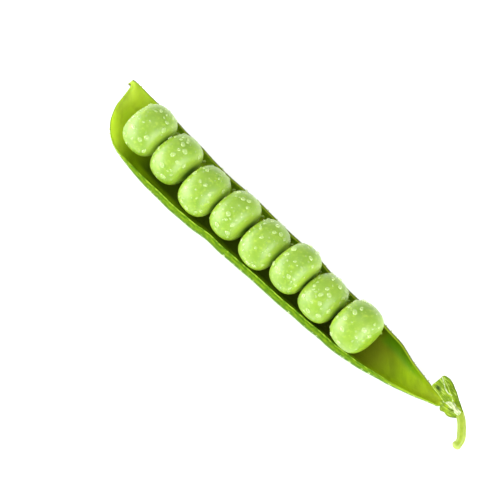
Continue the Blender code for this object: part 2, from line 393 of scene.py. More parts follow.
print("the working stem's box, mm:", [corner.round(1).tolist() for corner in node_box("stem")])

# %% [markdown]
# ## The outline of the boat
#
# The outline could be drawn again as a curve. But the working model's valve already has the right one, so
# it is measured: at each of its sections the lowest and highest place across, and its height. A curve that
# never swings past its knots turns those few sections into as many as the fine skin wants.

# %% Measure the valve's outline
def valve_outline():
    """Station, curved edge, straight edge, underside and rim height of each section of the working valve."""
    points = np.empty(len(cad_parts["pod_valve"].data.vertices) * 3)
    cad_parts["pod_valve"].data.vertices.foreach_get("co", points)
    x, y, z = points.reshape(-1, 3).T / MM
    stations, which = np.unique(x.round(2), return_inverse=True)
    low_y, high_y, low_z, high_z = (np.full(len(stations), far) for far in (math.inf, -math.inf) * 2)
    np.minimum.at(low_y, which, y)
    np.maximum.at(high_y, which, y)
    np.minimum.at(low_z, which, z)
    np.maximum.at(high_z, which, z)
    return stations, low_y, high_y, low_z, high_z


ALMOST_NOTHING = 1e-12


def smooth(at, value, x):
    """A cubic through the knots that never swings past them: its slopes are the knots' harmonic means."""
    step = np.diff(at)
    slope = np.diff(value) / step
    before, after = slope[:-1], slope[1:]
    same_way = before * after > ALMOST_NOTHING
    inner = np.where(same_way, 2.0 * before * after / np.where(same_way, before + after, 1.0), 0.0)
    tangent = np.concatenate([slope[:1], inner, slope[-1:]])
    x = np.clip(x, at[0], at[-1])
    i = np.clip(np.searchsorted(at, x, side="right") - 1, 0, len(step) - 1)
    t = (x - at[i]) / step[i]
    return (value[i] * (1 + 2 * t) * (1 - t) ** 2 + value[i + 1] * t * t * (3 - 2 * t)
            + step[i] * (tangent[i] * t * (1 - t) ** 2 - tangent[i + 1] * t * t * (1 - t)))


def between(x, knots):
    """The same curve through a short list of (place, value) knots."""
    at, value = np.array(knots, dtype=float).T
    return smooth(at, value, x)


outline = valve_outline()
BEAK = outline[0][0]
VALVE_END = outline[0][-1]
print("sections:", len(outline[0]), "from", round(BEAK, 2), "to", round(VALVE_END, 2))

# %% [markdown]
# ## The wall of the pod
#
# Each section of the boat is one closed loop. It runs round the outside from the curved edge to the
# straight one, over that edge's bead, back along the lining, and over the thick curved edge. At both ends
# the lining is shallow, like a spoon, and the edge is thin; along the peas the lining is steep and the
# curved edge is a broad band with a fine ridge on its inner side. A flat sheet with Solidify would give a
# wall of even thickness; this loop can make each edge as thick and as round as it grows.

# %% Measures of the wall
SECTIONS = 420
OUTSIDE_POINTS = 64
LINING_POINTS = 56
BEAD_POINTS = 14
RING_CROWDING = 0.4  # share of the rings that gather at the two ends
BEAK_ROUNDING = 0.12  # length over which the blunt beak is rounded off
TIP_ROUNDING = 0.5  # and the narrow end inside the calyx
LEAST_ROUND = 0.02  # what is left of the very last ring, before its square root
OUTSIDE_POWER = 2.15  # 2 is an ellipse, more is a fuller boat
FLOOR_WALL = 1.2  # thickness of the wall below the peas
FULL_DEPTH = 3.5  # where the boat is shallower than this, the floor is thinner
CROWN_HEIGHT = 0.28  # how high the edges' round tops rise
FULL_WIDTH = 4.0  # where the boat is narrower than this, they are lower
LEAST_CAVITY = 0.1  # how far the lining stays below the tops at the very ends
CAVITY_START = 0.3  # where the hollow starts
CAVITY_RUN_OUT = 7.0  # how long its floor takes to reach its full depth
TIP_RUN_OUT = 4.0  # the same at the stem end
EDGE_WAVE = 0.08  # the curved edge wavers by this much
EDGE_WAVE_LENGTH = 9.0
EDGE_FADE = 9.0  # how fast the edges' colour gives way down the wall
EDGE_ROUNDNESS = 0.45  # 1 would be a sine, less is a fuller round
RIDGE = (0.86, 0.07, 0.25)  # where it runs across the curved edge, how wide and how high
GROOVE = (0.68, 0.1, -0.3)  # the groove beside it

# Each list below says something about the wall at some distances from the beak.
CURVED_WALL = [  # thickness of the curved edge
    (0.0, 0.25), (9.0, 0.3), (16.0, 0.9), (24.0, 1.3), (70.0, 1.3), (78.0, 0.9), (88.0, 0.35), (93.0, 0.2)]
STRAIGHT_WALL = [  # thickness of the straight edge
    (0.0, 0.25), (10.0, 0.45), (75.0, 0.6), (88.0, 0.4), (93.0, 0.2)]
LINING_POWER = [  # how square the hollow is
    (0.0, 1.5), (8.0, 1.6), (16.0, 2.2), (24.0, 2.6), (74.0, 2.6), (84.0, 2.0), (93.0, 1.7)]
BEAK_REACH = [  # how much longer the soft beak is than the working one
    (0.0, 0.6), (0.3, 0.5), (0.8, 0.15), (5.0, 0.0)]
NIB = [  # how far the curved edge draws in to leave a square corner on the beak
    (0.0, 0.12), (0.3, 0.85), (0.55, 1.5), (0.9, 1.0), (1.3, 0.4), (1.9, -0.5), (3.2, 0.0)]
CURVED_EDGE = [  # how far the curved edge lies inside the working one
    (0.0, 0.0), (1.2, -0.1), (3.6, -0.45), (7.0, -0.3), (13.0, 0.0), (25.0, 0.15), (36.0, 0.3),
    (42.0, 0.05), (52.0, 0.2), (66.0, 0.2), (73.0, 0.0), (82.0, 0.35), (89.0, 0.3), (93.0, 0.0)]
STRAIGHT_EDGE = [  # how far the straight edge lies outside the working one
    (0.0, 0.5), (0.4, 0.25), (1.0, 0.12), (70.0, 0.12), (78.0, 0.32), (84.0, 0.15), (87.0, 0.25), (93.0, 0.2)]
print("points around the wall:", OUTSIDE_POINTS + LINING_POINTS + 2 * BEAD_POINTS)

# %% Curves of a section
def superellipse(points, power):
    """Across from -1 to 1 and down from 0 to 1 and back: a cosine and a sine, each raised to 2 / power."""
    turn = np.linspace(math.pi, 0.0, points)
    across = np.sign(np.cos(turn)) * np.abs(np.cos(turn)) ** (2.0 / power)
    down = np.clip(np.sin(turn), 0.0, 1.0) ** (2.0 / power)
    return across, down


def ripple(x, scale, seed):
    """A gentle irregular wave along x, from -1 to 1: three sines whose lengths and phases are drawn once."""
    draw = np.random.default_rng(seed)
    lengths = scale * draw.uniform(0.6, 1.6, 3)
    phases = draw.uniform(0.0, 2.0 * math.pi, 3)
    return np.sin(x[..., None] * 2.0 * math.pi / lengths + phases).mean(axis=-1)


def hump(share, place, width, height):
    """A bell curve: height at its place, fading to a third of it one width away."""
    return height * np.exp(-((share - place) / width) ** 2)


def bead(points):
    """Share across an edge from 0 to 1 and its height: a round top with a fine ridge on the inner side."""
    share = (1.0 - np.cos(np.linspace(0.0, math.pi, points + 2)[1:-1])) / 2.0
    return share, np.sin(math.pi * share) ** EDGE_ROUNDNESS, hump(share, *RIDGE) + hump(share, *GROOVE)


print("share across an edge:", bead(BEAD_POINTS)[0].round(2).tolist())

# %% Skin of the wall
def valve_skin():
    """The wall's rings, and painted on them how far inside, how low and how near the edges each point is."""
    share = np.linspace(0.0, 1.0, SECTIONS)
    crowded = (1.0 - np.cos(math.pi * share)) / 2.0
    x = BEAK + (VALVE_END - BEAK) * ((1.0 - RING_CROWDING) * share + RING_CROWDING * crowded)
    low, high, under, rim = (smooth(outline[0], column, x) for column in outline[1:])
    station = x - BEAK
    calm_ends = between(station, [(0.0, 0.0), (4.0, 1.0), (88.0, 1.0), (93.0, 0.0)])
    low = low + EDGE_WAVE * ripple(x, EDGE_WAVE_LENGTH, 3) * calm_ends
    low = low + between(station, NIB) + between(station, CURVED_EDGE)
    high = high + between(station, STRAIGHT_EDGE)
    curved_wall = between(station, CURVED_WALL)
    straight_wall = between(station, STRAIGHT_WALL)
    crown = CROWN_HEIGHT * np.minimum(1.0, (high - low) / FULL_WIDTH)
    depth = rim - under
    hollow = np.clip((station - CAVITY_START) / CAVITY_RUN_OUT, 0.0, 1.0)
    hollow = np.minimum(hollow, (station[-1] - station) / TIP_RUN_OUT)
    cavity = (depth - FLOOR_WALL * np.minimum(1.0, depth / FULL_DEPTH)) * np.sin(hollow * math.pi / 2.0)
    cavity = np.maximum(cavity, crown + LEAST_CAVITY)

    def arc(first, last, deep, points, power):
        """The lower half of a superellipse between two places across, and how far down each point is."""
        across, down = superellipse(points, power)
        middle, half = (first + last)[:, None] / 2.0, (last - first)[:, None] / 2.0
        z = (rim - crown)[:, None] - (deep - crown)[:, None] * down
        return middle + half * across, z, down + np.zeros_like(half)

    def edge(outer, inner, points):
        """The bead over one edge; a thick edge is flatter and shows more of its ridge."""
        part, round_top, ridge = bead(points)
        y = outer[:, None] + (inner - outer)[:, None] * part
        tall = np.minimum(np.abs(inner - outer), 1.0)[:, None]
        return y, (rim - crown)[:, None] + crown[:, None] * (round_top * (1.0 - 0.3 * tall) + ridge * tall)

    power = between(station, LINING_POWER)[:, None]
    out_y, out_z, out_down = arc(low, high, depth, OUTSIDE_POINTS, OUTSIDE_POWER)
    straight_y, straight_z = edge(high, high - straight_wall, BEAD_POINTS)
    in_y, in_z, in_down = arc(low + curved_wall, high - straight_wall, cavity, LINING_POINTS, power)
    curved_y, curved_z = edge(low, low + curved_wall, BEAD_POINTS)
    y = np.concatenate([out_y, straight_y, in_y[:, ::-1], curved_y[:, ::-1]], axis=1)
    z = np.concatenate([out_z, straight_z, in_z[:, ::-1], curved_z[:, ::-1]], axis=1)
    part, _, _ = bead(BEAD_POINTS)
    row = np.ones((SECTIONS, 1))
    inside = np.concatenate([np.zeros_like(out_y), row * part, np.ones_like(in_y), row * part[::-1]], axis=1)
    sunk = np.concatenate([out_down, np.zeros_like(straight_y), in_down[:, ::-1], np.zeros_like(curved_y)],
                          axis=1)
    on_edge = np.exp(-sunk * EDGE_FADE)
    side = (y - low[:, None]) / (high - low)[:, None]
    nearest_end = np.minimum(station / BEAK_ROUNDING, (station[-1] - station) / TIP_ROUNDING)[:, None]
    rounding = np.sqrt(np.clip(1.0 - (1.0 - np.minimum(nearest_end, 1.0)) ** 2, LEAST_ROUND, 1.0))
    middle_y, middle_z = y.mean(axis=1, keepdims=True), z.mean(axis=1, keepdims=True)
    y = middle_y + (y - middle_y) * rounding
    z = np.maximum(middle_z + (z - middle_z) * rounding, 0.0)
    x = x - between(station, BEAK_REACH)
    rings = np.stack([np.broadcast_to(x[:, None], y.shape), y, z], axis=-1)
    return rings, {"inside": inside, "sunk": sunk, "on_edge": on_edge, "side": side}


valve_rings, valve_paint = valve_skin()
print("wall rings:", valve_rings.shape)

# %% [markdown]
# ## The finish of the outside and the edges
#
# The outside of a fresh pod is a glossy mid green with a net of fine veins. The band along the curved edge
# is lighter, and the straight edge is a thin dark line. Paint on an unwrapped skin would show all that, but
# would smear over the edges. The mesh already knows how far inside and how near an edge each point is, so
# the colours are laid by those values, and the veins are cells of a pattern in space.

# %% Finish of the outside and the edges
def skin_finish():
    spot = place_mm()
    inside, on_edge, side = (paint(key) for key in ("inside", "on_edge", "side"))
    along = Wire.node("SeparateXYZ", {}, {0: spot}) - BEAK
    clouds = noise(spot, 0.35, 3.0)
    fine = noise(stretched(spot, 0.6, 1.6, 1.6), 1.8, 3.0, 0.6)
    veins = Wire.node("TexVoronoi", {"feature": "DISTANCE_TO_EDGE"},
                      {"Vector": stretched(spot, 0.55, 1.0, 1.0), "Scale": 0.9})
    net = veins.step(0.09, 0.0)
    skin = mix(srgb(58, 112, 0), srgb(84, 140, 2), clouds)
    skin = mix(skin, srgb(112, 160, 24), net * 0.35)
    skin = mix(skin, srgb(72, 100, 0), on_edge * side.step(0.5, 0.2) * 0.9)
    band = mix(srgb(72, 114, 0), srgb(116, 150, 0), fine.step(0.3, 0.7))
    ridge = inside.step(0.7, 0.8) * inside.step(0.95, 0.85)
    band = mix(band, srgb(156, 186, 50), ridge * fine.step(0.4, 0.6) * 0.9)
    band = mix(band, srgb(76, 106, 0), inside.step(0.88, 0.98) * 0.6)
    band = mix(band, srgb(56, 72, 10), inside.step(0.2, 0.0) * 0.85)
    # painted light: the curved edge's band is lighter at the thin beak and stem ends, where light comes
    # through the wall
    lit_through_ends = (along.step(15.0, 9.0) + along.step(80.0, 86.0)) * side.step(0.6, 0.4)
    band = mix(band, srgb(140, 166, 30), lit_through_ends * 0.8)
    colour = mix(skin, band, inside.step(0.0, 0.06))
    straight_line = side.step(0.86, 0.92) * inside.step(0.6, 0.35) * on_edge
    rim = side.step(0.8, 0.9) * on_edge * inside.step(0.2, 0.4)
    colour = mix(colour, srgb(128, 148, 16), rim * 0.85)
    colour = mix(colour, srgb(76, 78, 34), straight_line * 0.85)
    colour = mix(colour, srgb(96, 94, 56), along.step(0.5, 0.1) * 0.9)
    relief = fine * 0.5 + net * 0.3
    return {"Base Color": colour, "Roughness": 0.3 + 0.12 * clouds + 0.4 * on_edge,
            "Normal": bump(relief, 0.06), "Coat Weight": 0.15 * (1.0 - on_edge), "Coat Roughness": 0.15,
            "Specular IOR Level": 0.2, **below_skin(0.15, 1.0, (0.5, 1.0, 0.1))}


pod_wall = new_material("pod_wall", skin_finish)
print("nodes of the pod wall's finish:", len(pod_wall.node_tree.nodes))

# %% [markdown]
# ## The finish of the lining
#
# The lining is a smooth, silky skin with fine slanting fibres. Its colour carries painted light, bright
# yellow-green at the thin ends where light comes through, and painted shade, nearly black-green, below the
# peas. A single colour with deep shadows would not show that, so a ramp of colours runs from the beak to the
# stem, and the two sides get their own tints, some of them painted light and shade.

# %% Finish of the lining
# From the beak to the stem: painted light at the thin ends, where light comes through, and painted shade,
# nearly black, along the middle below the peas.
LINING_COLOURS_WITH_LIGHT_AND_SHADE = [
    (0.0, srgb(172, 198, 66)), (0.04, srgb(188, 216, 44)), (0.1, srgb(144, 178, 0)), (0.17, srgb(66, 92, 0)),
    (0.25, srgb(68, 90, 0)), (0.5, srgb(74, 94, 0)), (0.76, srgb(66, 78, 0)), (0.83, srgb(98, 110, 0)),
    (0.9, srgb(128, 158, 0)), (1.0, srgb(140, 160, 20))]


def lining_finish():
    spot = place_mm()
    sunk, side = paint("sunk"), paint("side")
    along = Wire.node("SeparateXYZ", {}, {0: spot}) - BEAK
    slanted = Wire.node("VectorRotate", {"rotation_type": "Z_AXIS"},
                        {"Vector": spot, "Angle": math.radians(38.0)})
    fibres = noise(stretched(slanted, 0.25, 4.0, 4.0), 1.0, 2.0)
    clouds = noise(stretched(slanted, 0.4, 1.0, 1.0), 0.45, 2.0)
    share = along * (1.0 / (VALVE_END - BEAK))
    lining = Wire.node("ValToRGB", {"stops": LINING_COLOURS_WITH_LIGHT_AND_SHADE}, {0: share})
    beak_end, stem_end = along.step(15.0, 6.0), along.step(74.0, 77.0)
    middle = (1.0 - beak_end) * (1.0 - stem_end)
    # painted light: brighter yellow-green near the beak, high on the curved side, where light comes through
    # the thin wall
    lining = mix(lining, srgb(214, 238, 64), sunk.step(0.9, 0.1) * beak_end * side.step(0.7, 0.4) * 0.9)
    # painted shade: darker on the straight side near the beak
    lining = mix(lining, srgb(124, 150, 20), side.step(0.6, 0.95) * beak_end * 0.8)
    # painted light: lighter along the curved side in the middle, near the rim, where light reaches into the
    # hollow
    lining = mix(lining, srgb(128, 162, 0), middle * side.step(0.24, 0.16) * 0.9)
    seam = sunk.step(1.0, 0.75) * middle * side.step(0.66, 0.8) * along.step(72.0, 69.0)
    lining = mix(lining, srgb(196, 226, 48), seam * 0.9)
    strip = side.step(0.74, 0.88) * stem_end * along.step(89.0, 83.0)
    lining = mix(lining, srgb(72, 128, 0), strip * 0.7)
    # painted light: lighter on the shallow curved side at the stem end, where light comes through the thin
    # wall
    lining = mix(lining, srgb(150, 186, 0), sunk.step(0.95, 0.3) * stem_end * side.step(0.55, 0.3) * 0.7)
    lining = mix(lining, srgb(150, 176, 0), fibres.step(0.5, 0.75) * along.step(78.0, 84.0) * 0.3)
    lining = mix(lining, srgb(56, 70, 0), clouds.step(0.45, 0.75) * 0.3)
    return {"Base Color": lining, "Roughness": 0.55, "Normal": bump(fibres, 0.04), "Specular IOR Level": 0.12,
            **below_skin(0.1, 1.0, (0.6, 1.0, 0.05))}


pod_lining = new_material("pod_lining", lining_finish)
print("colours along the lining:", len(LINING_COLOURS_WITH_LIGHT_AND_SHADE))

# %% The pod's skin with its two finishes
pod_skin = ring_piece("pod_skin", valve_rings, pod_wall, valve_paint, ["pod_valve"])
pod_skin.data.materials.append(pod_lining)
first_lining = OUTSIDE_POINTS + BEAD_POINTS
column = np.tile(np.arange(valve_rings.shape[1]), SECTIONS - 1)
is_lining = (column >= first_lining - 1) & (column < first_lining + LINING_POINTS)
finishes = np.zeros(len(pod_skin.data.polygons), dtype=np.int32)
finishes[:len(is_lining)] = is_lining
pod_skin.data.polygons.foreach_set("material_index", finishes)
print("faces of the lining:", int(finishes.sum()))

# %% [markdown]
# ## Peas
#
# A pea grows round until its neighbours stop it. Balls cut off by planes would have sharp edges, and soft
# bodies pressed together would come out a little different each time. So its skin is a soft meeting of two
# shapes: a ball that is free to be longer than the pea is, and two flat planes where the next peas press.

# %% Measures of the peas
PEA_COUNT = 8
PEA_RINGS = 110
PEA_SIDES = 132
FREE_LENGTH = 1.5  # length of the free ball, as a share of the squashed one
TOP_FREE_LENGTH = 1.2  # the same for its top and underside, where nothing presses
FREE_END = 0.2  # the first pea's end towards the beak is rounder by this
PEA_SWELL = (0.3, 0.17, 0.05)  # the skins leave only creases where the working peas stand apart
PEA_SETTLES = (0.1, 0.1, 0.0)  # they hang a little towards the straight seam that feeds them
EVEN = ((0.0, 0.0, 0.0), (0.0, 0.0, 0.0))
PEA_HABITS = {  # shift and growth of the odd ones
    1: ((-0.08, 0.0, 0.0), (0.34, 0.05, 0.0)),
    3: ((-0.04, 0.1, 0.0), (0.06, 0.12, 0.0)),
    4: ((0.0, -0.08, 0.0), (0.0, -0.08, 0.0)),
}
SQUASH_POWER = 4.5  # more makes the meeting of ball and plane sharper
LUMPS = 9
LUMP_HEIGHT = 0.012  # as a share of the pea's radius
print("peas:", PEA_COUNT, "first one's box, mm:", [corner.round(1).tolist() for corner in node_box("pea_1")])

# %% Shape of a pea
def lumps(way, seed, waves, size):
    """Small swellings of a ball: sines along random directions, whose heights fall as they get finer."""
    draw = np.random.default_rng(seed)
    directions = unit(draw.normal(size=(waves, 3)))
    counts = draw.uniform(2.0, 6.5, waves)
    phases = draw.uniform(0.0, 2.0 * math.pi, waves)
    return size * (np.sin(way @ (directions * counts[:, None]).T + phases) / counts).sum(axis=-1)


def pea_skin(number):
    """A pea's rings about the line of the row, and how flat its neighbours press each point.

    In each direction the ball and the plane have a reach; the skin's reach is the power mean of both,
    (ball ** -p + plane ** -p) ** (-1 / p), which stays close to the smaller one.
    """
    low, high = node_box(f"pea_{number}")
    shift, growth = PEA_HABITS.get(number, EVEN)
    middle = (low + high) / 2.0 + PEA_SETTLES + shift
    half = (high - low) / 2.0 + PEA_SWELL + growth
    fit = (1.0 + FREE_LENGTH ** -SQUASH_POWER) ** (1.0 / SQUASH_POWER)
    ring = np.linspace(0.0, math.pi, PEA_RINGS + 2)[1:-1]
    turn = full_turn(PEA_SIDES)
    ring, turn = np.meshgrid(ring, turn, indexing="ij")
    way = np.stack([np.cos(ring), np.sin(ring) * np.cos(turn), np.sin(ring) * np.sin(turn)], axis=-1)
    steep = 1.0 - (1.0 - way[..., 2] ** 2) ** 2
    longer = FREE_LENGTH + (TOP_FREE_LENGTH - FREE_LENGTH) * steep
    if number == 1:
        longer = longer - FREE_END * (way[..., 0] < 0.0) * np.abs(way[..., 0])
    across, upright = np.full_like(turn, half[1]), np.full_like(turn, half[2])
    free = np.stack([half[0] * longer * fit, across, upright], axis=-1)
    ball = np.linalg.norm(way / free, axis=-1)
    planes = np.abs(way[..., 0]) / (half[0] * fit)
    reach = (ball ** SQUASH_POWER + planes ** SQUASH_POWER) ** (-1.0 / SQUASH_POWER)
    free_side = {1: -1.0, PEA_COUNT: 1.0}.get(number, 0.0)
    pressed = planes * reach * (way[..., 0] * free_side <= 0.0)
    reach = reach * (1.0 - LUMP_HEIGHT + lumps(way, 40 + number, LUMPS, LUMP_HEIGHT))
    return middle + way * reach[..., None], {"pressed": pressed}


pea_skins = {number: pea_skin(number) for number in range(1, PEA_COUNT + 1)}
print("peas:", len(pea_skins), "points each:", PEA_RINGS * PEA_SIDES)

# %% [markdown]
# ## The finish of the peas
#
# A pea's skin is waxy and lets some light through. It is mottled; painted light makes it lighter round the
# shoulders that face the next peas, and painted shade makes it dark where two peas touch, where it is also
# dull. A plain green with a gloss would look like plastic, so three patterns of different fineness tint it,
# and light may wander below the skin.

# %% Finish of the peas
def pea_finish():
    spot = place_mm()
    pressed = paint("pressed")
    clouds = noise(spot, 0.3, 3.0)
    mottle = noise(spot, 1.5, 3.0, 0.6)
    specks = Wire.node("TexVoronoi", {}, {"Vector": spot, "Scale": 1.6})
    pores = noise(spot, 5.0, 2.0)
    colour = mix(srgb(98, 138, 4), srgb(136, 168, 30), clouds)
    colour = mix(colour, srgb(162, 190, 56), mottle.step(0.52, 0.72) * 0.5)
    colour = mix(colour, srgb(170, 196, 60), specks.step(0.24, 0.05) * 0.4)
    # painted light: lighter round the shoulders that face the next peas
    colour = mix(colour, srgb(180, 208, 84), pressed.step(0.6, 0.95) * 0.5)
    # painted shade: dark where two peas touch
    colour = mix(colour, srgb(64, 110, 0), pressed.step(0.92, 0.985) * 0.9)
    touching = pressed.step(0.9, 1.0)
    relief = mottle * 0.6 + pores * 0.25
    return {"Base Color": colour, "Roughness": 0.38 + 0.15 * mottle + 0.3 * touching,
            "Normal": bump(relief, 0.06), "Coat Weight": 0.5 - 0.5 * touching, "Coat Roughness": 0.36,
            **below_skin(0.55, 3.0, (0.7, 1.0, 0.12))}


pea_material = new_material("pea_skin", pea_finish)
for number, (rings, painted) in pea_skins.items():
    ring_piece(f"plump_pea_{number}", rings, pea_material, painted, [f"pea_{number}"])
print("nodes of the peas' finish:", len(pea_material.node_tree.nodes))

# %% [markdown]
# ## Rods and leaves
#
# A seed stalk, a thread or the stem is a row of round rings along a path. A curve with a bevel would give
# the same rods, but no ribs. A leaf is nearly the same as a rod: its rings are very flat ovals, bent into a
# trough, and its edge waves a little where it has wilted.

# %% Rods
ROD_SIDES = 28


def along_path(knots, steps):
    """Points evenly shared along a smooth curve through the knots."""
    knots = np.array(knots, dtype=float)
    far = np.concatenate([[0.0], np.cumsum(np.linalg.norm(np.diff(knots, axis=0), axis=1))])
    share = np.linspace(0.0, far[-1], steps)
    order = min(3, len(knots) - 1)
    return np.stack([np.polyval(np.polyfit(far, column, order), share) for column in knots.T], axis=-1)


def frame_along(path, facing):
    """Unit vectors across the path and towards its upper side, at each of its points."""
    ahead = unit(np.gradient(path, axis=0))
    across = unit(np.cross(ahead, facing))
    return across, np.cross(across, ahead)


def rod_rings(path, radii, relief=0.0):
    """Round rings of the given radii; relief is a share of the radius for each ring and side."""
    across, upper = frame_along(path, (0.0, 0.0, 1.0))
    turn = full_turn(ROD_SIDES)
    size = np.asarray(radii)[:, None] * (1.0 + relief * np.ones((len(path), ROD_SIDES)))
    return (path[:, None] + (size * np.cos(turn))[..., None] * across[:, None]
            + (size * np.sin(turn))[..., None] * upper[:, None])


print("a rod of two rings:", rod_rings(np.array([(0.0, 0.0, 0.0), (1.0, 0.0, 0.0)]), [0.5, 0.5]).shape)

# %% Leaves
LEAF_SIDES = 40
LEAF_THICKNESS = 0.2
LEAF_RIBS = 6.0  # fine ribs across a leaf
RIB_HEIGHT = 0.12  # as a share of the thickness
LEAF_WAVES = (2.6, 1.7)  # lengths of the two waves that a wilted edge makes
HOLLOW_SIZE = (0.16, 0.34)  # along and across, as shares of the leaf's length and half width
HOLLOW_DEPTH = 0.3


def leaf_rings(leaf, steps, seed):
    """The rings of a leaf, and painted on them how far sideways and how deep in its hollow each point is, and
    how much painted shade its outer edge gets.

    With t across from -1 to 1, a point stands trough * half * t ** 2 above the leaf's path, plus a wave that
    grows towards the tip and the edges, less a bell-shaped hollow.
    """
    path = along_path(from_beak(leaf["path"]), steps)
    across, upper = frame_along(path, leaf["facing"])
    turn = full_turn(LEAF_SIDES)
    t = np.cos(turn)
    share = np.linspace(0.0, 1.0, len(path))
    half = between(share, leaf["half_widths"])[:, None]
    far = share * np.linalg.norm(np.diff(path, axis=0), axis=1).sum()
    slow, quick = (ripple(far, length, seed + i)[:, None] for i, length in enumerate(LEAF_WAVES))
    waving = slow * t + quick * t ** 2
    ribs = RIB_HEIGHT * LEAF_THICKNESS * np.cos(LEAF_RIBS * math.pi * t)
    at, beside, depth = leaf["hollow"]
    away = ((share[:, None] - at) / HOLLOW_SIZE[0]) ** 2 + ((t - beside) / HOLLOW_SIZE[1]) ** 2
    dent = depth * np.exp(-away)
    rise = leaf["trough"] * half * t ** 2 + leaf["wave"] * waving * np.abs(t) * share[:, None]
    thick = LEAF_THICKNESS / 2.0 * np.sqrt(np.minimum(half, 1.0)) + ribs
    rise = rise + thick * np.sin(turn) - HOLLOW_DEPTH * dent
    rings = path[:, None] + (half * t)[..., None] * across[:, None] + rise[..., None] * upper[:, None]
    # painted shade along one outer edge of the leaf; the sign of dark_edge says which edge
    dark = np.clip((t * leaf.get("dark_edge", 0.0) - 0.5) / 0.25, 0.0, 1.0)
    return rings, {"sideways": np.broadcast_to(np.abs(t), rise.shape), "hollow": dent * (np.sin(turn) > -0.3),
                   "dark_edge": np.broadcast_to(dark, rise.shape)}


STEM_ACROSS = 8.535  # how far across the working stem reaches, in measures from the beak


def from_beak(points):
    """Points whose first measure runs from the beak's tip, moved into the part's own frame."""
    return np.array(points) + (BEAK, node_box("stem")[1][1] - STEM_ACROSS, 0.0)


print("those measures start at, mm:", from_beak([(0.0, 0.0, 0.0)]).round(2).tolist())

# %% [markdown]
# ## Seed stalks
#
# Each pea hangs on a short pale stalk that rises from the inner side of the straight seam in the notch
# between two peas. Its foot is broad, its neck thin, and it widens again where it meets the pea. The working
# stalks would do as they are, but their ends are cut square; these ones are rounded off into seam and pea.

# %% Seed stalks
STALK_STEPS = 16
STALK_FOOT = (-1.0, -0.3, 0.25)  # from the working stalk's corner at the seam
STALK_HEAD = (-0.45, 0.2, -0.2)  # from its corner at the pea
STALK_BEND = (0.0, 0.08, 0.16)
STALK_RADII = [(0.0, 0.34), (0.35, 0.22), (0.7, 0.2), (1.0, 0.28)]


def stalk_rings(number):
    """Round rings along a bent path, whose radii shrink at both ends as 1 - s ** 8 does."""
    low, high = node_box(f"seed_stalk_{number}")
    foot = np.array([high[0], high[1], low[2]]) + STALK_FOOT
    head = np.array([low[0], low[1], high[2]]) + STALK_HEAD
    middle = (foot + head) / 2.0 + STALK_BEND
    share = np.linspace(0.0, 1.0, STALK_STEPS)
    radii = between(share, STALK_RADII) * np.sqrt(np.clip(1.0 - (2.0 * share - 1.0) ** 8, 0.08, 1.0))
    return rod_rings(along_path([foot, middle, head], STALK_STEPS), radii)


def stalk_finish():
    colour = mix(srgb(96, 126, 30), srgb(150, 176, 76), noise(place_mm(), 1.5))
    return {"Base Color": colour, "Roughness": 0.45, **below_skin(0.3, 0.5, (0.7, 1.0, 0.3))}


stalk_material = new_material("seed_stalk", stalk_finish)
for number in range(1, PEA_COUNT + 1):
    ring_piece(f"fine_seed_stalk_{number}", stalk_rings(number), stalk_material,
               stands_for=[f"seed_stalk_{number}"])
print("rings of a stalk:", stalk_rings(1).shape)

# %% [markdown]
# ## Calyx
#
# The green cup at the end of the pod carries five narrow leaves, the sepals. They have wilted and curled:
# the two upper ones make a ragged half tube, one leans against the side, and two lie below. Whitish dry
# remains of the flower lie on top. A simulated cloth would curl as freely, but not where it should, so each
# leaf has a path, widths, a trough and a wave of its own.

